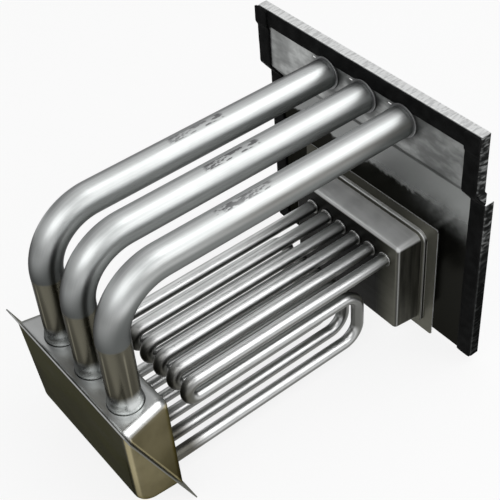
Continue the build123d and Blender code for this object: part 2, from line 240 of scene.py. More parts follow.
class FinishColours(bpy.types.PropertyGroup):
    """Colours of the bare metals and the foam, and of the painted shade, reflections and highlights on them.
    """

    tube: bpy.props.FloatVectorProperty(
        name="Firing tubes", description="Aluminised steel of the firing tubes",
        default=(0.66, 0.68, 0.675), **PAINT)
    # Painted shade on the upper flank of the firing tubes; darker copies of it colour the smudges and the
    # bead
    flank_shade_and_smudge: bpy.props.FloatVectorProperty(
        name="Firing tube flank", description="Rubbed upper flank of the firing tubes",
        default=(0.43, 0.43, 0.44), **PAINT)
    # Painted shade on the underside of the firing tubes, also used for painted shade on their bends
    tube_painted_shade: bpy.props.FloatVectorProperty(
        name="Firing tube shade", description="Underside of the firing tubes",
        default=(0.19, 0.2, 0.195), **PAINT)
    # Painted dark olive reflection on the legs, and painted olive shade on the small tubes' tight turns
    olive_painted_reflection_and_shade: bpy.props.FloatVectorProperty(
        name="Firing tube olive", description="Olive cast of the legs below the bends",
        default=(0.135, 0.128, 0.098), **PAINT)
    small_tube: bpy.props.FloatVectorProperty(
        name="Small tubes", description="Drawn steel of the small tubes",
        default=(0.74, 0.75, 0.745), **PAINT)
    # Painted shade on the underside of the small tubes
    small_tube_painted_shade: bpy.props.FloatVectorProperty(
        name="Small tube shade", description="Underside of the small tubes",
        default=(0.15, 0.152, 0.142), **PAINT)
    panel: bpy.props.FloatVectorProperty(
        name="Upper panel", description="Dull zinc of the upper part of the panel",
        default=(0.42, 0.43, 0.425), **PAINT)
    # Painted dark reflection on the polished lower part of the panel
    panel_painted_reflection: bpy.props.FloatVectorProperty(
        name="Lower panel", description="Dark polished lower part of the panel",
        default=(0.024, 0.024, 0.022), **PAINT)
    # Painted highlight on the upper return flange and on the seam flange of the coupling box
    edge_painted_highlight: bpy.props.FloatVectorProperty(
        name="Panel edge", description="Bright band of the upper return flange",
        default=(0.95, 0.96, 0.955), **PAINT)
    box_top: bpy.props.FloatVectorProperty(
        name="Box top", description="Satin top of the coupling box",
        default=(0.56, 0.57, 0.565), **PAINT)
    # Painted dark olive reflection on the front of the coupling box
    wall_painted_reflection: bpy.props.FloatVectorProperty(
        name="Box wall", description="Dark olive front of the coupling box",
        default=(0.058, 0.057, 0.053), **PAINT)
    # Painted golden reflection on the ends of the coupling box, and painted highlights on its rounded edges
    end_painted_reflection: bpy.props.FloatVectorProperty(
        name="Box end", description="Golden olive ends of the coupling box",
        default=(0.22, 0.195, 0.125), **PAINT)
    collector: bpy.props.FloatVectorProperty(
        name="Collector", description="Dull steel of the collector box",
        default=(0.78, 0.79, 0.785), **PAINT)
    # Painted shade on the sides and front of the collector box
    collector_painted_shade: bpy.props.FloatVectorProperty(
        name="Collector side", description="Shaded sides and front of the collector box",
        default=(0.088, 0.087, 0.072), **PAINT)
    foam: bpy.props.FloatVectorProperty(
        name="Foam", description="Black foam of the gasket strips",
        default=(0.006, 0.0062, 0.0062), **PAINT)


class StageSettings(bpy.types.PropertyGroup):
    """Camera, floor and lamps."""

    camera_place: bpy.props.FloatVectorProperty(
        name="Camera place", description="Where the camera stands",
        subtype="TRANSLATION", size=3, unit="LENGTH", default=(0.91919, -0.86113, 0.90136))
    camera_turn: bpy.props.FloatVectorProperty(
        name="Camera turn", description="How the camera is turned",
        subtype="EULER", size=3, unit="ROTATION",
        default=(radians(47.677), radians(3.947), radians(51.831)))
    lens: bpy.props.FloatProperty(
        name="Lens", description="Focal length in millimetres on a 36 mm sensor",
        default=80.89, min=10.0, max=300.0)
    shift_x: bpy.props.FloatProperty(
        name="Shift across", description="Shift of the frame across, as a share of its width",
        default=0.0235, min=-0.5, max=0.5)
    shift_y: bpy.props.FloatProperty(
        name="Shift up", description="Shift of the frame upwards, as a share of its width",
        default=-0.0367, min=-0.5, max=0.5)
    floor: bpy.props.FloatVectorProperty(
        name="Floor", description="Pale floor",
        default=(0.86, 0.86, 0.86), **PAINT)
    floor_glow: bpy.props.FloatProperty(
        name="Floor glow", description="Share of plain white in what the camera and the metals see",
        subtype="FACTOR", default=0.85, min=0.0, max=1.0)
    key_power: bpy.props.FloatProperty(
        name="Overhead lamp", description="Power of the softbox overhead",
        subtype="POWER", default=15.5, min=0.0, max=2000.0)
    fill_power: bpy.props.FloatProperty(
        name="Fill lamp", description="Power of the softbox behind on the left",
        subtype="POWER", default=3.5, min=0.0, max=2000.0)
    front_power: bpy.props.FloatProperty(
        name="Front lamp", description="Power of the softbox high in front",
        subtype="POWER", default=9.0, min=0.0, max=2000.0)
    right_power: bpy.props.FloatProperty(
        name="Right lamp", description="Power of the softbox low on the right",
        subtype="POWER", default=9.0, min=0.0, max=2000.0)
    sky: bpy.props.FloatProperty(
        name="Sky", description="Brightness of the room overhead",
        default=0.6, min=0.0, max=2.0)
    horizon: bpy.props.FloatProperty(
        name="Horizon", description="Brightness of the room at eye level",
        default=0.3, min=0.0, max=2.0)


class Finish:
    """One material: a Principled surface whose colour, gloss and relief come from added nodes."""

    def __init__(self, name, metallic, roughness, specular=0.5):
        self.material = bpy.data.materials.new(name)
        self.material.use_nodes = True
        self.tree = self.material.node_tree
        self.surface = self.tree.nodes["Principled BSDF"]
        self.set("Metallic", metallic)
        self.set("Roughness", roughness)
        self.set("Specular IOR Level", specular)
        coordinates = self.node("ShaderNodeTexCoord")
        self.place = coordinates.outputs["Object"]
        self.uv = coordinates.outputs["UV"]

    def set(self, socket, value):
        """Feeds a socket of the surface by its name."""
        self.feed(self.surface.inputs[socket], value)

    def feed(self, socket, value):
        """Links a socket to what was worked out, or gives it a number or a colour."""
        if isinstance(value, bpy.types.NodeSocket):
            self.tree.links.new(value, socket)
        elif socket.type == "RGBA" and len(value) == 3:
            socket.default_value = (*value, 1.0)
        else:
            socket.default_value = value

    def node(self, kind, inputs=None, **settings):
        """A new node with its settings, and its inputs by name or number."""
        node = self.tree.nodes.new(kind)
        for key, value in settings.items():
            setattr(node, key, value)
        for key, value in (inputs or {}).items():
            self.feed(node.inputs[key], value)
        return node

    def axes(self, vector=None):
        """The three parts of a vector, by default of the place on the object."""
        return self.node("ShaderNodeSeparateXYZ", {0: vector or self.place}).outputs

    def facing(self):
        """The three parts of the surface's own normal."""
        return self.axes(self.node("ShaderNodeNewGeometry").outputs["Normal"])

    def stretch(self, vector, scale):
        """A vector with each part scaled, so that a pattern on it is drawn out."""
        return self.node("ShaderNodeMapping", {"Vector": vector, "Scale": scale}).outputs[0]

    def noise(self, scale, detail=3.0, vector=None, roughness=0.5):
        """Cloudy noise from 0 to 1."""
        inputs = {"Vector": vector or self.place, "Scale": scale, "Detail": detail, "Roughness": roughness}
        return self.node("ShaderNodeTexNoise", inputs).outputs[0]

    def cells(self, scale, vector):
        """Grey that changes from one crystal-like cell to the next."""
        colour = self.node("ShaderNodeTexVoronoi", {"Vector": vector, "Scale": scale}).outputs["Color"]
        return self.axes(colour)[0]

    def span(self, value, low, high, start=0.0, end=1.0):
        """Smooth rise from start to end while value goes from low to high."""
        inputs = {"Value": value, 1: low, 2: high, 3: start, 4: end}
        return self.node("ShaderNodeMapRange", inputs, interpolation_type="SMOOTHSTEP").outputs[0]

    def maths(self, operation, a, b=0.0):
        """One step of arithmetic on one or two values."""
        return self.node("ShaderNodeMath", {0: a, 1: b}, operation=operation).outputs[0]

    def absolute(self, a):
        """A value without its sign."""
        return self.maths("ABSOLUTE", a)

    def both(self, a, b):
        """Product of two shares."""
        return self.maths("MULTIPLY", a, b)

    def blend(self, share, a, b):
        """Colour that goes from a to b as share goes from 0 to 1."""
        return self.node("ShaderNodeMix", {0: share, 6: a, 7: b}, data_type="RGBA").outputs[2]

    def shades(self, share, colour, start, end):
        """A colour whose strength goes from start to end as share goes from 0 to 1."""
        return self.blend(share, tinted(colour, start), tinted(colour, end))

    def band(self, value, low, high, soft):
        """1 where value lies between low and high, with soft edges."""
        rise = self.span(value, low - soft, low + soft)
        fall = self.span(value, high - soft, high + soft, 1.0, 0.0)
        return self.both(rise, fall)

    def curved(self, flat, round_over):
        """1 on the rounded edges, where the normal leaves all three axes, and 0 on the flats."""
        nx, ny, nz = (self.absolute(n) for n in self.facing())
        most = self.maths("MAXIMUM", self.maths("MAXIMUM", nx, ny), nz)
        return self.span(most, round_over, flat, 1.0, 0.0)

    def relief(self, height, depth, strength=1.0, under=None):
        """Small bumps as deep as depth, in metres."""
        inputs = {"Strength": strength, "Distance": depth, "Height": height}
        if under:
            inputs["Normal"] = under
        return self.node("ShaderNodeBump", inputs).outputs[0]


def tinted(colour, share):
    """A colour made lighter or darker by a share."""
    return tuple(min(1.0, c * share) for c in colour)


def run_colour(f, colours, lines, cloud):
    """Runs of the firing tubes: drawn lines and clouds, painted shade on the upper flank with a few smudges,
    and painted shade on the underside. The third tube has a browner painted shade low on its side."""
    x, y, _ = f.axes()
    nz = f.facing()[2]
    around = f.axes(f.uv)[0]
    base = f.shades(f.span(lines, 0.32, 0.68), colours.tube, 0.9, 1.04)
    base = f.blend(f.span(cloud, 0.4, 0.8, 0.0, 0.25), base, tinted(colours.tube, 0.75))
    # Painted shade on the upper flank, with the drawn lines in it
    flank = f.blend(f.span(lines, 0.35, 0.62), colours.flank_shade_and_smudge, tinted(colours.tube, 0.8))
    base = f.blend(f.span(around, FLANK_START, FLANK_FULL), base, flank)
    patches = f.noise(1.0, 2.0, f.stretch(f.uv, (22.0, 60.0, 1.0)), 0.6)
    shifted = f.maths("ADD", y, f.span(x, *THIRD_TUBE_X, 0.0, SMUDGE_SHIFT))
    rubbed = f.both(f.span(patches, 0.44, 0.54), f.band(shifted, SMUDGE_FAR, SMUDGE_NEAR, 0.004))
    rubbed = f.both(rubbed, f.band(around, SMUDGE_LOW, SMUDGE_HIGH, 0.006))
    rubbed = f.both(rubbed, f.span(cloud, 0.3, 0.55, 0.5, 1.0))
    base = f.blend(rubbed, base, tinted(colours.flank_shade_and_smudge, 0.4))
    # Painted brown shade low on the side of the third tube
    brown = tuple(c * left for c, left in zip(colours.tube, BROWN_SHADE_CAST))
    third = f.both(f.span(x, *THIRD_TUBE_X), f.span(nz, 0.35, 0.8, 0.9, 0.0))
    base = f.blend(f.both(third, f.span(y, *BROWN_RUN_Y, 0.35, 1.0)), base, brown)
    # Painted shade on the underside
    return f.blend(f.span(nz, 0.0, 0.36, 1.0, 0.0), base, colours.tube_painted_shade)


def bend_colour(f, colours, base):
    """Bends of the firing tubes over the colour of their runs: a painted highlight where they begin,
    painted shade towards the leg, and the darkest painted shade on the side that faces -X."""
    x, _, z = f.axes()
    nx, ny, _ = f.facing()
    # Painted highlight where the bends begin
    lit = f.both(f.span(ny, -0.5, 0.1, 1.0, 0.0), f.band(z, BEND_LEVEL - 0.016, BEND_LEVEL + 0.012, 0.012))
    base = f.blend(lit, base, tinted(colours.tube, 1.28))
    # Painted shade towards the leg, lighter on the side that faces -Y
    front = f.both(f.span(ny, -0.98, -0.2, 1.0, 0.0), f.span(nx, -0.6, 0.25, 0.3, 1.0))
    turned = f.blend(front, tinted(colours.tube_painted_shade, 0.5), tinted(colours.tube, 0.85))
    base = f.blend(f.span(z, LEG_LEVEL + 0.002, BEND_LEVEL, 0.95, 0.0), base, turned)
    # Painted shade low on the bends, lighter on the later tubes
    low = f.shades(f.span(x, *LATER_TUBES_X), colours.tube_painted_shade, 0.42, 0.62)
    base = f.blend(f.span(z, LEG_LEVEL, LEG_LEVEL + 0.062, 1.0, 0.0), base, low)
    # Darkest painted shade on the side that faces -X
    fade = f.span(z, BEND_LEVEL - 0.02, BEND_LEVEL + 0.015, 0.92, 0.0)
    return f.blend(f.both(f.span(nx, -0.8, 0.8, 1.0, 0.0), fade), base, tinted(colours.tube_painted_shade, 0.08))


def leg_colour(f, colours):
    """Legs of the firing tubes: long streaks in a painted dark olive reflection, narrow painted highlights,
    and a polished swelled end with a painted highlight on its +X side.
    """
    z = f.axes()[2]
    nx = f.facing()[0]
    around = f.axes(f.uv)[0]
    # Painted dark olive reflection with long streaks
    streaks = f.noise(1.0, 1.0, f.stretch(f.uv, (9.0, 4.0, 1.0)), 0.4)
    leg = f.shades(f.span(streaks, 0.3, 0.75), colours.olive_painted_reflection_and_shade, 0.45, 1.15)
    # Painted highlights
    for glint in LEG_GLINTS:
        glow = f.both(f.band(around, glint - 0.004, glint + 0.004, 0.012), f.band(z, *GLINT_LEVELS, 0.01))
        leg = f.blend(glow, leg, tinted(colours.olive_painted_reflection_and_shade, 2.0))
    # Painted highlight on the +X side of the swelled end
    end = f.shades(f.span(nx, 0.55, 0.95), colours.tube, 0.72, 1.05)
    return f.blend(f.span(z, SWELL_LEVEL, SWELL_LEVEL + 0.02, 1.0, 0.0), leg, end)


def tube_finish(colours):
    """Satin aluminised steel. Runs, bends and legs each have their own colour with painted shade and
    highlights in it, the bead is darker and duller, and the legs are glossier."""
    f = Finish("aluminised_tube", 1.0, 0.38)
    f.set("Specular Tint", (0.5, 0.5, 0.5, 1.0))
    _, y, z = f.axes()
    lines = f.noise(1.0, 3.0, f.stretch(f.uv, (44.0, 2.5, 1.0)), 0.6)
    cloud = f.noise(16.0, 4.0)
    grain = f.noise(420.0, 2.0)
    below = f.span(z, LEG_LEVEL - 0.003, LEG_LEVEL + 0.002, 1.0, 0.0)
    rolled = f.span(y, -BEAD_FACE_WIDTH - 0.0016, -BEAD_FACE_WIDTH, 0.0, 0.75)
    base = bend_colour(f, colours, run_colour(f, colours, lines, cloud))
    base = f.blend(below, base, leg_colour(f, colours))
    f.set("Base Color", f.blend(rolled, base, tinted(colours.flank_shade_and_smudge, 0.5)))
    gloss = f.maths("ADD", f.span(cloud, 0.2, 0.8, 0.35, 0.44), f.both(rolled, 0.2))
    f.set("Roughness", f.maths("SUBTRACT", gloss, f.both(below, 0.12)))
    f.set("Normal", f.relief(grain, 0.00004, 0.3, f.relief(lines, 0.0001, 0.2)))
    return f.material


def small_tube_finish(colours):
    """Bright drawn steel with fine lines along the tube, painted shade underneath, and a painted olive
    shade and duller where it turns near the coupling box."""
    f = Finish("drawn_small_tube", 1.0, 0.3)
    y = f.axes()[1]
    nz = f.facing()[2]
    lines = f.noise(1.0, 1.0, f.stretch(f.uv, (14.0, 3.0, 1.0)))
    cloud = f.noise(24.0, 3.0)
    base = f.shades(f.span(lines, 0.25, 0.75), colours.small_tube, 0.9, 1.05)
    base = f.blend(f.span(cloud, 0.4, 0.8, 0.0, 0.3), base, tinted(colours.small_tube, 0.6))
    # Painted shade on the underside
    base = f.blend(f.span(nz, 0.0, 0.5, 1.0, 0.0), base, colours.small_tube_painted_shade)
    # Painted olive shade on the tight turns near the coupling box, which are also rougher
    bent = f.span(y, TIGHT_TURN_Y, TIGHT_TURN_Y + 0.035, 0.92, 0.0)
    f.set("Base Color", f.blend(bent, base, tinted(colours.olive_painted_reflection_and_shade, 0.6)))
    f.set("Roughness", f.maths("ADD", f.span(cloud, 0.2, 0.8, 0.27, 0.35), f.both(bent, 0.12)))
    f.set("Normal", f.relief(cloud, 0.0003, 0.1))
    return f.material


def upper_sheet(f, colours, spangle, smear, tube_side):
    """Dull smeared zinc, with a dark ring round each bead on the tube side. The distance from the
    nearest tube's axis is the root of z squared plus the square of x folded at half the pitch."""
    x, _, z = f.axes()
    cloud = f.noise(14.0, 4.0)
    sheet = f.shades(f.span(smear, 0.35, 0.65), colours.panel, 0.66, 1.3)
    sheet = f.blend(f.span(spangle, 0.0, 1.0, 0.0, 0.3), sheet, tinted(colours.panel, 0.7))
    sheet = f.blend(f.span(cloud, 0.48, 0.62, 0.0, 0.6), sheet, tinted(colours.panel, 0.55))
    beside = f.maths("PINGPONG", x, FIRING_PITCH / 2)
    distance = f.maths("SQRT", f.maths("ADD", f.both(beside, beside), f.both(z, z)))
    halo = f.span(f.maths("ADD", distance, f.both(smear, 0.016)), HALO_FULL, HALO_END, 0.75, 0.0)
    halo = f.both(halo, f.span(f.absolute(x), HALO_REACH, HALO_REACH + 0.01, 1.0, 0.0))
    return f.blend(f.both(halo, tube_side), sheet, tinted(colours.panel, 0.22))


def lower_sheet(f, colours, level):
    """Painted reflection on polished sheet: grey above a line and lighter towards +X, black below it. The
    line is ragged, and soft towards +X.
    """
    x = f.axes()[0]
    ragged = f.span(level, PANEL_BLACK + 0.016, PANEL_BLACK + 0.023)
    soft = f.span(level, PANEL_BLACK - 0.02, PANEL_BLACK + 0.06)
    grey = f.shades(f.span(x, *GREY_RISE_X), colours.panel, 0.6, 1.5)
    return f.blend(f.blend(f.span(x, *RAGGED_TO_SOFT_X), ragged, soft), colours.panel_painted_reflection, grey)


def panel_finish(colours):
    """Zinc sheet. The upper part and the whole burner side are dull, the lower part of the tube side is
    polished, with a painted reflection that goes from grey to black, the upper edge is a hatched painted
    highlight, and the sides are painted shade with light strokes that fade downwards."""
    f = Finish("zinc_panel", 1.0, 0.4)
    f.set("Specular Tint", (0.3, 0.3, 0.3, 1.0))
    x, _, z = f.axes()
    nx, ny, nz = f.facing()
    spangle = f.cells(95.0, f.stretch(f.place, (1.0, 1.0, 0.7)))
    smear = f.noise(1.0, 3.0, f.stretch(f.place, (18.0, 18.0, 46.0)), 0.6)
    wander = f.maths("ADD", f.both(f.noise(9.0, 2.0), 0.03), f.both(f.noise(110.0, 4.0), 0.018))
    wander = f.maths("SUBTRACT", wander, 0.024)
    level = f.maths("ADD", f.maths("ADD", z, f.both(x, PANEL_SLANT)), wander)
    tube_side = f.span(ny, -0.3, 0.3, 1.0, 0.0)
    low = f.both(f.span(z, JOGGLE_LOW - 0.002, JOGGLE_LOW + 0.002, 1.0, 0.0), tube_side)
    upper = upper_sheet(f, colours, spangle, smear, tube_side)
    # Painted reflection on the lower part of the tube side
    face = f.blend(low, upper, lower_sheet(f, colours, level))
    # Painted shade on the sides, with light strokes that fade downwards
    strokes = f.noise(1.0, 2.0, f.stretch(f.place, (1.0, 60.0, 200.0)), 0.6)
    strokes = f.both(f.span(strokes, 0.42, 0.78), f.span(z, *STROKES_FADE_Z, 0.12, 1.0))
    side = f.shades(strokes, colours.panel, 0.06, 0.8)
    face = f.blend(f.span(f.absolute(nx), 0.15, 0.55), face, side)
    # Painted highlight on the upward-facing edge, hatched
    hatch = f.noise(1.0, 3.0, f.stretch(f.place, (330.0, 60.0, 60.0)), 0.65)
    edge = f.shades(f.span(hatch, 0.36, 0.58), colours.edge_painted_highlight, 0.75, 1.0)
    on_top = f.span(nz, 0.7, 0.95)
    f.set("Base Color", f.blend(on_top, face, edge))
    polish = f.both(low, f.span(level, PANEL_BLACK, PANEL_BLACK + 0.05, 0.28, 0.14))
    f.set("Roughness", f.maths("SUBTRACT", 0.46, polish))
    f.set("Normal", f.relief(f.both(hatch, on_top), 0.0004, 0.5, f.relief(spangle, 0.0001, 0.15)))
    return f.material


def box_finish(name, colours, rear):
    """Stamped aluminised steel: satin on top where it is the rear half, lighter towards +X by painted
    light, a painted dark olive reflection in front that is lighter higher up, a painted golden reflection
    at the ends that is darker lower down, with painted highlights on the rounded edges and seam flange."""
    f = Finish(name, 1.0, 0.36)
    f.set("Specular Tint", (0.25, 0.25, 0.2, 1.0))
    x, _, z = f.axes()
    nx, ny, nz = f.facing()
    cloud = f.noise(18.0, 4.0)
    streak = f.noise(1.0, 3.0, f.stretch(f.place, (14.0, 90.0, 40.0)))
    grain = f.noise(500.0, 2.0)
    wide = f.noise(5.0, 1.0)
    # Painted dark olive reflection on the walls
    wall = f.shades(f.span(cloud, 0.3, 0.8), colours.wall_painted_reflection, 0.85, 1.2)
    wall = f.blend(f.span(wide, 0.35, 0.65, 0.0, 0.6), wall, tinted(colours.wall_painted_reflection, 1.9))
    # Painted light towards the top of the wall
    wall = f.blend(f.span(z, *WALL_RISE_Z, 0.0, 0.6), wall, tinted(colours.wall_painted_reflection, 2.4))
    # Painted golden reflection on the ends
    end = f.shades(f.span(cloud, 0.35, 0.75), colours.end_painted_reflection, 1.0, 0.7)
    # Painted shade lower down on the ends; catch bounds the painted highlight on the rounded edges
    if rear:
        end = f.blend(f.span(z, *REAR_END_Z, 0.9, 0.3), end, tinted(colours.end_painted_reflection, 0.25))
        catch = f.span(nz, 0.05, 0.3, 0.0, 0.8)
    else:
        end = f.blend(f.span(z, *FRONT_END_Z, 0.4, 0.0), end, tinted(colours.end_painted_reflection, 0.4))
        catch = f.span(z, *FRONT_EDGE_Z, 0.3, 0.8)
    base = f.blend(f.span(f.absolute(nx), 0.35, 0.75), wall, end)
    # Painted highlight on the rounded edges
    base = f.blend(f.both(f.curved(0.93, 0.8), catch), base, tinted(colours.end_painted_reflection, 2.2))
    if rear:
        # Painted light that makes the satin top lighter towards +X
        top = f.shades(f.span(x, *BOX_TOP_X), colours.box_top, 0.75, 1.6)
        top = f.blend(f.span(cloud, 0.35, 0.75, 0.0, 0.4), top, tinted(colours.box_top, 0.6))
        base = f.blend(f.span(nz, 0.3, 0.66), base, top)
    # Painted highlight on the seam's upper edge
    seam_edge = f.maths("ADD", f.both(ny, SEAM_EDGE_WAY[0]), f.both(nz, SEAM_EDGE_WAY[1]))
    base = f.blend(f.span(seam_edge, 0.97, 0.995), base, tinted(colours.edge_painted_highlight, 0.6))
    off_centre = f.absolute(f.maths("SUBTRACT", x, CENTRE_X))
    flange = f.span(off_centre, FLANGE_HALF, FLANGE_HALF + 0.002)
    f.set("Base Color", f.blend(f.both(flange, 0.7), base, tinted(colours.box_top, 0.42)))
    f.set("Roughness", f.span(streak, 0.25, 0.75, 0.3, 0.42))
    f.set("Normal", f.relief(grain, 0.00005, 0.3, f.relief(cloud, 0.0008, 0.12)))
    return f.material


def collector_finish(colours):
    """Dull aluminised steel of the drawn pan and its back plate: painted shade on the sides with drips,
    painted shade on the front that is lighter towards its +X corner, painted highlight and shade on the
    rounded edges, and a painted highlight on the rim."""
    f = Finish("drawn_collector", 0.6, 0.38, 0.3)
    f.set("Specular Tint", (0.35, 0.35, 0.32, 1.0))
    x, y, _ = f.axes()
    nx, ny, nz = f.facing()
    cloud = f.noise(20.0, 4.0)
    streak = f.noise(1.0, 3.0, f.stretch(f.place, (20.0, 120.0, 120.0)))
    drips = f.noise(1.0, 2.0, f.stretch(f.place, (60.0, 60.0, 6.0)), 0.6)
    base = f.shades(f.span(cloud, 0.3, 0.75), colours.collector, 1.25, 0.95)
    base = f.blend(f.span(streak, 0.45, 0.8, 0.0, 0.5), base, tinted(colours.collector, 1.3))
    # Painted shade on the sides, with drips
    side = f.shades(f.span(drips, 0.35, 0.7), colours.collector_painted_shade, 0.2, 0.8)
    base = f.blend(f.span(f.absolute(nx), 0.75, 0.98), base, side)
    # Painted shade on the front, lighter near the seat and towards the +X corner
    seat = f.span(y, COLLECTOR_SEAT - 0.012, COLLECTOR_SEAT - 0.008)
    front = f.shades(seat, colours.collector_painted_shade, 0.1, 0.75)
    front = f.blend(f.span(x, *PAN_CORNER_X), front, tinted(colours.collector_painted_shade, 1.6))
    base = f.blend(f.span(ny, -0.9, -0.4, 1.0, 0.0), base, front)
    # Painted highlight on the upper rounded edges and painted shade on the lower ones
    lighter = tinted(colours.collector, 0.9)
    crease = f.blend(f.span(nz, 0.1, 0.5), tinted(colours.collector_painted_shade, 0.4), lighter)
    base = f.blend(f.both(f.curved(0.95, 0.75), 0.9), base, crease)
    # Painted highlight on the rim
    rim = f.span(f.maths("MAXIMUM", nz, f.absolute(nx)), 0.985, 0.995)
    rim = f.both(rim, f.span(y, COLLECTOR_SEAT - 0.001, COLLECTOR_SEAT))
    f.set("Base Color", f.blend(rim, base, tinted(colours.collector, 1.2)))
    f.set("Roughness", f.span(streak, 0.25, 0.75, 0.32, 0.46))
    f.set("Normal", f.relief(cloud, 0.0006, 0.15))
    return f.material


def foam_finish(colours):
    """Matte black closed-cell foam."""
    f = Finish("black_foam", 0.0, 0.85, 0.06)
    pores = f.noise(900.0, 3.0)
    cloud = f.noise(60.0, 3.0)
    f.set("Base Color", f.shades(f.span(cloud, 0.3, 0.8), colours.foam, 0.7, 1.8))
    f.set("Roughness", f.span(pores, 0.3, 0.7, 0.75, 0.95))
    f.set("Normal", f.relief(pores, 0.0003, 0.6, f.relief(cloud, 0.0008, 0.4)))
    return f.material


def route_parts(corners, radii):
    """Straight runs joined by tangent arcs. A corner that turns by t with radius r takes r tan(t / 2)
    from both of its runs. Returns for each part its first distance, length, start, way in and turn."""
    corners = np.asarray(corners, float)
    steps = np.diff(corners, axis=0)
    lengths = np.hypot(*steps.T)
    ways = steps / lengths[:, None]
    side = ways[:-1, 0] * ways[1:, 1] - ways[:-1, 1] * ways[1:, 0]
    turns = np.arctan2(side, np.sum(ways[:-1] * ways[1:], axis=1))
    cuts = np.concatenate([[0.0], np.asarray(radii) * np.abs(np.tan(turns / 2)), [0.0]])
    parts = []
    done = 0.0
    for i, way in enumerate(ways):
        run = lengths[i] - cuts[i] - cuts[i + 1]
        start = corners[i] + way * cuts[i]
        parts.append((done, run, start, way, 0.0))
        done += run
        if i < len(turns):
            arc = radii[i] * abs(turns[i])
            parts.append((done, arc, start + way * run, way, turns[i]))
            done += arc
    return parts


def route_length(corners, radii):
    """Where the last part of a route ends."""
    first, length, _, _, _ = route_parts(corners, radii)[-1]
    return first + length


def along(corners, radii, distances):
    """Points and directions in Y and Z at distances along the route. On a run the point is the start
    plus distance times the way; on an arc of curvature k it is the start plus the integral of the
    way turned by k times the distance."""
    distances = np.asarray(distances, float)
    points = np.zeros((len(distances), 2))
    ways = np.zeros((len(distances), 2))
    for first, length, start, way, turn in route_parts(corners, radii):
        here = distances >= first - SAME_PLACE
        d = distances[here] - first
        left = np.array([-way[1], way[0]])
        if turn:
            k = turn / length
            points[here] = start + np.outer(np.sin(k * d) / k, way) + np.outer((1 - np.cos(k * d)) / k, left)
            ways[here] = np.outer(np.cos(k * d), way) + np.outer(np.sin(k * d), left)
        else:
            points[here] = start + np.outer(d, way)
            ways[here] = way
    return points, ways


def bend_stations(corners, radii):
    """Distances on the arcs, one for each small step of the turn."""
    found = []
    for first, length, _, _, turn in route_parts(corners, radii):
        if turn:
            found.append(first + np.linspace(0.0, length, int(np.ceil(abs(turn) / ARC_STEP)) + 1))
    return np.concatenate(found)


def with_stations(profile, stations):
    """A profile of distance and radius, with the stations that lie between its points added at the
    radius that runs straight from one point to the next."""
    rows = [profile[0]]
    for before, after in zip(profile[:-1], profile[1:]):
        low, high = sorted((before[0], after[0]))
        extra = stations[(stations > low + END_ROUND) & (stations < high - END_ROUND)]
        if before[0] > after[0]:
            extra = extra[::-1]
        share = (extra - before[0]) / (after[0] - before[0]) if len(extra) else extra
        rows += list(zip(extra, before[1] + share * (after[1] - before[1])))
        rows.append(after)
    return np.array(rows)


def closed_skin(name, points, lengths, closed_rows=True):
    """Mesh from a grid of points, row by row. Each row closes on itself, and the last row joins the
    first where asked, else both are capped. Each face joins (i, j), (i, j+1), (i+1, j+1), (i+1, j).
    The UV map holds the share of a turn and the row's distance along the piece."""
    rows, columns = points.shape[:2]
    i, j = np.meshgrid(np.arange(rows if closed_rows else rows - 1), np.arange(columns), indexing="ij")
    j_next = (j + 1) % columns
    here, below = i * columns, (i + 1) % rows * columns
    faces = np.stack([here + j, here + j_next, below + j_next, below + j], -1).reshape(-1, 4).tolist()
    if not closed_rows:
        faces.append(list(range(columns))[::-1])
        faces.append(list(range((rows - 1) * columns, rows * columns)))
    mesh = bpy.data.meshes.new(name)
    mesh.from_pydata(points.reshape(-1, 3), [], faces)
    across = np.stack([j, j + 1, j + 1, j], -1).reshape(-1) / columns
    lengths = np.concatenate([lengths, lengths[:1]])
    down = np.stack([lengths[i], lengths[i], lengths[i + 1], lengths[i + 1]], -1).reshape(-1)
    layer = np.zeros((len(mesh.loops), 2))
    layer[:len(across), 0] = across
    layer[:len(down), 1] = down
    mesh.uv_layers.new(name="skin").data.foreach_set("uv", layer.ravel())
    mesh.polygons.foreach_set("use_smooth", np.ones(len(mesh.polygons), bool))
    mesh.set_sharp_from_angle(angle=SHARP_ANGLE)
    mesh.update()
    piece = bpy.data.objects.new(name, mesh)
    bpy.context.scene.collection.objects.link(piece)
    return piece


def tube_skin(name, x, corners, radii, profile, around):
    """Tube carried along a route in a plane of constant X. The point at distance s and angle a is
    the centre at s plus the radius at s times (X cos a + (way x X) sin a)."""
    profile = with_stations(profile, bend_stations(corners, radii))
    centre, way = along(corners, radii, profile[:, 0])
    angle = 2 * np.pi * np.arange(around) / around - np.pi / 2
    radius = profile[:, 1][:, None]
    lift = radius * np.sin(angle)
    points = np.empty((len(profile), around, 3))
    points[..., 0] = x + radius * np.cos(angle)
    points[..., 1] = centre[:, :1] + way[:, 1:] * lift
    points[..., 2] = centre[:, 1:] - way[:, :1] * lift
    return closed_skin(name, points, profile[:, 0])


def rounded_ring(start, width, foot, crest):
    """Profile of a bead from start on: it rises from foot to crest, and its two edges are quarter
    rounds of radius r, at (r - r cos a, r sin a) from where they begin."""
    r = min(width / 2, crest - foot) * RING_ROUND
    turn = np.linspace(0.0, np.pi / 2, RING_STEPS)
    rise = [(start + r * (1 - np.cos(a)), crest - r + r * np.sin(a)) for a in turn]
    fall = [(2 * start + width - d, h) for d, h in rise[::-1]]
    return [(start, foot), *rise, *fall, (start + width, foot)]


def eased(share):
    """Smooth rise from 0 to 1: three times the square less twice the cube."""
    return share * share * (3 - 2 * share)


def finished(piece, node, material):
    """Gives a piece its material, hangs it on the body and hides the CAD node that it stands for."""
    piece.data.materials.append(material)
    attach(piece, BODY)
    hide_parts(node)
    return piece


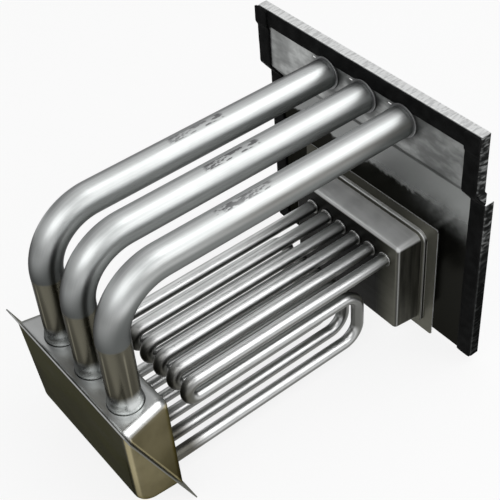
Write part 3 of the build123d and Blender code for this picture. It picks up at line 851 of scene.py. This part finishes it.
def firing_tube(node, sizes, material):
    """Bent tube: rolled lip and bead at the panel, a bend of a quarter turn, a swelled end below. Its
    profile goes down the outside and back up the inside."""
    low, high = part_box(node)
    x = (low.x + high.x) / 2
    r = sizes.firing_diameter / 2
    inside = r - sizes.firing_wall
    corners = [(high.y, 0.0), (sizes.firing_leg, 0.0), (sizes.firing_leg, low.z)]
    radii = [sizes.firing_bend]
    end = route_length(corners, radii)
    lip = high.x - x
    neck = high.y + BEAD_FACE_WIDTH
    swell = end - SWELL_LENGTH
    profile = [(0.0, inside + END_ROUND), (0.0, lip - END_ROUND)]
    profile += [(END_ROUND, lip), (high.y - SHEET_THICK, lip - END_ROUND)]
    profile += rounded_ring(high.y, BEAD_FACE_WIDTH, r - NECK_DIP, sizes.firing_bead)
    profile += [(neck + step, r + rise) for step, rise in NECK_STEPS]
    steps = np.linspace(0.0, 1.0, SWELL_STEPS)
    profile += list(zip(swell - SWELL_RAMP + SWELL_RAMP * steps, r + (sizes.firing_swell - r) * eased(steps)))
    profile += [(end - END_ROUND, sizes.firing_swell), (end, sizes.firing_swell - END_ROUND)]
    swell_in = sizes.firing_swell - sizes.firing_wall
    profile += [(end, swell_in), (swell, swell_in), (swell - SWELL_RAMP, inside)]
    profile += [(station, inside) for station in MOUTH_STATIONS]
    piece = tube_skin(node + "_skin", x, corners, radii, profile, FIRING_AROUND)
    return finished(piece, node, material)


def small_tube(node, sizes, material):
    """Serpentine tube in three passes, with a bead where it enters each box."""
    low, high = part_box(node)
    x = (low.x + high.x) / 2
    r = sizes.small_diameter / 2
    inside = r - sizes.small_wall
    top = high.z - sizes.small_bead
    bottom = low.z + sizes.small_bead
    tight = (top - sizes.pass_mid) / 2 - TURN_STRAIGHT
    corners = [(high.y, top), (sizes.turn_box, top), (sizes.turn_box, sizes.pass_mid),
               (sizes.turn_panel, sizes.pass_mid), (sizes.turn_panel, bottom), (low.y, bottom)]
    radii = [tight, tight, sizes.turn_panel_bend, sizes.turn_panel_bend]
    end = route_length(corners, radii)
    first_bead = high.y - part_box("collector_pan")[0].y
    last_bead = end - SMALL_INSERT - SMALL_BEAD_WIDTH
    profile = [(0.0, inside), (0.0, r)]
    profile += rounded_ring(first_bead, SMALL_BEAD_WIDTH, r, sizes.small_bead)
    profile += rounded_ring(last_bead, SMALL_BEAD_WIDTH, r, sizes.small_bead)
    profile += [(end, r), (end, inside), (END_ROUND, inside)]
    piece = tube_skin(node + "_skin", x, corners, radii, profile, SMALL_AROUND)
    return finished(piece, node, material)


def wave(distance, seed):
    """Slow unevenness between -1 and 1: sines of different lengths over the sum of their heights."""
    total = sum(height * np.sin(distance * rate + shift * seed) for rate, shift, height in FOAM_WAVES)
    return total / sum(height for _, _, height in FOAM_WAVES)


def end_round(distance, total):
    """Share of the full section: 1, but for a quarter round at each end."""
    near = np.clip(np.minimum(distance, total - distance) / FOAM_END_REACH, 0.0, 1.0)
    return np.sqrt(np.maximum(FOAM_END_LEAST, 1 - (1 - near) ** 2))


def foam_section():
    """Superellipse with flat sides and soft corners, as its two coordinates from -1 to 1."""
    angle = 2 * np.pi * np.arange(FOAM_AROUND) / FOAM_AROUND
    power = 2 / FOAM_SQUARENESS
    return (np.sign(np.cos(angle)) * np.abs(np.cos(angle)) ** power,
            np.sign(np.sin(angle)) * np.abs(np.sin(angle)) ** power)


def foam_distances(total):
    """Stations along a strip, close together at its ends."""
    ends = np.array(FOAM_END_STATIONS)
    middle = np.linspace(FOAM_MIDDLE_START, total - FOAM_MIDDLE_START, int(total / FOAM_STEP))
    return np.concatenate([ends, middle, total - ends[::-1]])


def foam_top(sizes, material):
    """Strip along X. At x its section is a superellipse between the strip's upper edge and its lower
    edge, which gives way to a circle round each bead, and its front is uneven by slow sines."""
    low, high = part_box("gasket_top")
    total = high.x - low.x
    s = foam_distances(total)
    x = low.x + s
    floor = np.full(len(x), low.z)
    for node in FIRING_NODES:
        near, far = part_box(node)
        gap = (far.x - near.x) / 2 + sizes.bead_clearance
        notch = np.sqrt(np.maximum(0.0, gap ** 2 - (x - (near.x + far.x) / 2) ** 2))
        floor = np.maximum(floor, notch)
    upper = high.z + sizes.unevenness * wave(s, 1.0)
    floor = floor - sizes.unevenness * 0.5 * (1 + wave(s, 2.0)) * (floor <= low.z)
    size = end_round(s, total)
    thick = (sizes.thickness + sizes.unevenness * wave(s, 3.0)) * size
    a, b = foam_section()
    half = (upper - floor) / 2 * size
    points = np.empty((len(s), FOAM_AROUND, 3))
    points[..., 0] = x[:, None]
    points[..., 1] = -thick[:, None] * (1 + b) / 2
    points[..., 2] = ((upper + floor) / 2)[:, None] - half[:, None] * a
    piece = closed_skin("foam_top", points, s, closed_rows=False)
    return finished(piece, "gasket_top", material)


def foam_side(node, sizes, material, seed):
    """Strip down one side: a superellipse carried down the panel and over the joggle. Its upper end
    laps over the end of the top strip, lifted by most of that strip's thickness."""
    low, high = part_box(node)
    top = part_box("gasket_top")[1].z + FOAM_OVERHANG
    corners = [(0.0, top), (0.0, JOGGLE_TOP), (JOGGLE_DEPTH, JOGGLE_LOW), (JOGGLE_DEPTH, low.z)]
    radii = [JOGGLE_FOLD_R, JOGGLE_FOLD_R]
    total = route_length(corners, radii)
    s = foam_distances(total)
    centre, way = along(corners, radii, s)
    lap = eased(np.clip((centre[:, 1] - FOAM_LAP_Z) / FOAM_LAP_RAMP + 1, 0.0, 1.0))
    size = end_round(s, total)
    thick = (sizes.thickness + sizes.unevenness * wave(s, seed)) * size
    lift = lap * sizes.thickness * FOAM_LAP_LIFT
    outward = 1.0 if high.x > 0 else -1.0
    half = (high.x - low.x) / 2 + sizes.unevenness * wave(s, seed + 1) + FOAM_LAP_SPREAD * lap
    middle = (high.x + low.x) / 2 + outward * FOAM_OVERHANG * FOAM_OVERHANG_SHARE * lap
    a, b = foam_section()
    height = lift[:, None] + thick[:, None] * (1 + b) / 2
    points = np.empty((len(s), FOAM_AROUND, 3))
    points[..., 0] = middle[:, None] + (half * size)[:, None] * a
    points[..., 1] = centre[:, :1] + way[:, 1:] * height
    points[..., 2] = centre[:, 1:] - way[:, :1] * height
    piece = closed_skin(node.replace("gasket", "foam"), points, s, closed_rows=False)
    return finished(piece, node, material)


def dress(nodes, material):
    """Gives CAD nodes that keep their shape their material and slot."""
    for name in nodes:
        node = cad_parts[name]
        node.data.materials.clear()
        node.data.materials.append(material)


class EXCHANGER_OT_panel(bpy.types.Operator):
    """Finish the folded panel"""

    bl_idname = "exchanger.panel"
    bl_label = "Finish panel"

    def execute(self, context):
        dress(["vestibule_panel"], panel_finish(context.scene.exchanger_colours))
        return {"FINISHED"}


class EXCHANGER_OT_foam(bpy.types.Operator):
    """Lay the three foam strips round the panel"""

    bl_idname = "exchanger.foam"
    bl_label = "Lay foam strips"

    def execute(self, context):
        sizes = context.scene.exchanger_foam
        material = foam_finish(context.scene.exchanger_colours)
        foam_top(sizes, material)
        foam_side("gasket_left", sizes, material, seed=5.0)
        foam_side("gasket_right", sizes, material, seed=8.0)
        return {"FINISHED"}


class EXCHANGER_OT_firing_tubes(bpy.types.Operator):
    """Make the three bent firing tubes"""

    bl_idname = "exchanger.firing_tubes"
    bl_label = "Make firing tubes"

    def execute(self, context):
        material = tube_finish(context.scene.exchanger_colours)
        for node in FIRING_NODES:
            firing_tube(node, context.scene.exchanger_tubes, material)
        return {"FINISHED"}


class EXCHANGER_OT_small_tubes(bpy.types.Operator):
    """Make the six small serpentine tubes"""

    bl_idname = "exchanger.small_tubes"
    bl_label = "Make small tubes"

    def execute(self, context):
        material = small_tube_finish(context.scene.exchanger_colours)
        for node in SMALL_NODES:
            small_tube(node, context.scene.exchanger_tubes, material)
        return {"FINISHED"}


class EXCHANGER_OT_coupling_box(bpy.types.Operator):
    """Finish the two stamped halves of the coupling box"""

    bl_idname = "exchanger.coupling_box"
    bl_label = "Finish coupling box"

    def execute(self, context):
        colours = context.scene.exchanger_colours
        dress(["coupling_box_rear"], box_finish("stamped_rear", colours, True))
        dress(["coupling_box_front"], box_finish("stamped_front", colours, False))
        return {"FINISHED"}


class EXCHANGER_OT_collector(bpy.types.Operator):
    """Finish the collector box"""

    bl_idname = "exchanger.collector"
    bl_label = "Finish collector"

    def execute(self, context):
        material = collector_finish(context.scene.exchanger_colours)
        dress(["collector_pan", "collector_back_plate"], material)
        return {"FINISHED"}


def softbox(name, place, target, size, power):
    """Rectangular area lamp that faces a target and isn't seen itself."""
    lamp = bpy.data.lights.new(name, "AREA")
    lamp.shape = "RECTANGLE"
    lamp.size, lamp.size_y = size
    lamp.energy = power
    holder = bpy.data.objects.new(name, lamp)
    bpy.context.scene.collection.objects.link(holder)
    holder.location = place
    holder.rotation_euler = (target - holder.location).to_track_quat("-Z", "Y").to_euler()
    holder.visible_camera = False


def floor_material(settings):
    """Pale matte floor. To camera, glossy and transmission rays it is part plain white."""
    f = Finish("pale_floor", 0.0, 0.9, 0.0)
    mottle = f.noise(3.0, 2.0)
    f.set("Base Color", f.blend(mottle, tinted(settings.floor, 0.99), settings.floor))
    path = f.node("ShaderNodeLightPath").outputs
    seen = f.maths("MAXIMUM", path["Is Camera Ray"], path["Is Glossy Ray"])
    seen = f.maths("MAXIMUM", seen, path["Is Transmission Ray"])
    glow = f.node("ShaderNodeEmission", {"Color": (1.0, 1.0, 1.0), "Strength": 1.0})
    share = f.maths("MULTIPLY", seen, settings.floor_glow)
    mixed = f.node("ShaderNodeMixShader", {0: share, 1: f.surface.outputs[0], 2: glow.outputs[0]})
    f.tree.links.new(mixed.outputs[0], f.tree.nodes["Material Output"].inputs["Surface"])
    return f.material


def studio_room(settings):
    """World that is brightest overhead and dim at eye level. Its strength rises smoothly with the
    upward part of the direction."""
    world = bpy.data.worlds.new("studio_room")
    world.use_nodes = True
    tree = world.node_tree
    direction = tree.nodes.new("ShaderNodeTexCoord").outputs["Generated"]
    parts = tree.nodes.new("ShaderNodeSeparateXYZ")
    tree.links.new(direction, parts.inputs[0])
    rise = tree.nodes.new("ShaderNodeMapRange")
    rise.interpolation_type = "SMOOTHSTEP"
    tree.links.new(parts.outputs[2], rise.inputs[0])
    for number, value in enumerate((0.0, ROOM_RISE, settings.horizon, settings.sky), start=1):
        rise.inputs[number].default_value = value
    tree.links.new(rise.outputs[0], tree.nodes["Background"].inputs["Strength"])
    tree.nodes["Background"].inputs["Color"].default_value = (1.0, 1.0, 1.0, 1.0)
    bpy.context.scene.world = world


class EXCHANGER_OT_stage(bpy.types.Operator):
    """Set the floor, the lamps and the camera"""

    bl_idname = "exchanger.stage"
    bl_label = "Set stage"

    def execute(self, context):
        settings = context.scene.exchanger_stage
        centre = (CAD_LOW + CAD_HIGH) / 2
        side = np.array([-FLOOR_REACH, FLOOR_REACH])
        x, y = np.meshgrid(centre.x + side, centre.y + side, indexing="ij")
        points = np.stack([x, y, np.full_like(x, CAD_LOW.z)], -1).reshape(-1, 3)
        mesh = bpy.data.meshes.new("floor")
        mesh.from_pydata(points, [], [[0, 2, 3, 1]])
        mesh.materials.append(floor_material(settings))
        floor = bpy.data.objects.new("floor", mesh)
        context.scene.collection.objects.link(floor)
        # Name, place across and along from the centre, level, size and power of each lamp
        lamps = [
            ("overhead", 0.6, 0.9, 1.9, (1.4, 2.2), settings.key_power),
            ("behind_left", -1.9, 0.9, 1.7, (1.8, 1.8), settings.fill_power),
            ("high_front", 0.7, -1.35, 1.4, (1.8, 1.5), settings.front_power),
            ("right", 1.8, 0.6, 1.0, (2.0, 1.1), settings.right_power),
        ]
        for name, across, deep, level, size, power in lamps:
            softbox(name, (centre.x + across, centre.y + deep, level), centre, size, power)
        studio_room(settings)
        camera = bpy.data.cameras.new("camera")
        camera.lens = settings.lens
        camera.sensor_width = SENSOR_WIDTH
        camera.shift_x = settings.shift_x
        camera.shift_y = settings.shift_y
        holder = bpy.data.objects.new("camera", camera)
        context.scene.collection.objects.link(holder)
        holder.location = settings.camera_place
        holder.rotation_euler = settings.camera_turn
        context.scene.camera = holder
        context.scene.view_settings.view_transform = "Standard"
        return {"FINISHED"}


PIECE_OPERATORS = [
    EXCHANGER_OT_panel,
    EXCHANGER_OT_foam,
    EXCHANGER_OT_firing_tubes,
    EXCHANGER_OT_small_tubes,
    EXCHANGER_OT_coupling_box,
    EXCHANGER_OT_collector,
    EXCHANGER_OT_stage,
]


class EXCHANGER_PT_sidebar(bpy.types.Panel):
    """Lists the steps that make the exchanger"""

    bl_idname = "EXCHANGER_PT_sidebar"
    bl_label = "Heat exchanger"
    bl_space_type = "VIEW_3D"
    bl_region_type = "UI"
    bl_category = "Exchanger"

    def draw(self, context):
        for step in PIECE_OPERATORS:
            self.layout.operator(step.bl_idname)


GROUPS = {
    "exchanger_tubes": TubeSizes,
    "exchanger_foam": FoamSizes,
    "exchanger_colours": FinishColours,
    "exchanger_stage": StageSettings,
}


def register():
    for group in GROUPS.values():
        bpy.utils.register_class(group)
    for name, group in GROUPS.items():
        setattr(bpy.types.Scene, name, bpy.props.PointerProperty(type=group))
    for step in PIECE_OPERATORS:
        bpy.utils.register_class(step)
    bpy.utils.register_class(EXCHANGER_PT_sidebar)


def unregister():
    bpy.utils.unregister_class(EXCHANGER_PT_sidebar)
    for step in PIECE_OPERATORS:
        bpy.utils.unregister_class(step)
    for name, group in GROUPS.items():
        delattr(bpy.types.Scene, name)
        bpy.utils.unregister_class(group)


def main():
    register()
    bpy.ops.exchanger.panel()
    bpy.ops.exchanger.foam()
    bpy.ops.exchanger.firing_tubes()
    bpy.ops.exchanger.small_tubes()
    bpy.ops.exchanger.coupling_box()
    bpy.ops.exchanger.collector()
    bpy.ops.exchanger.stage()


if __name__ == "__main__":
    main()
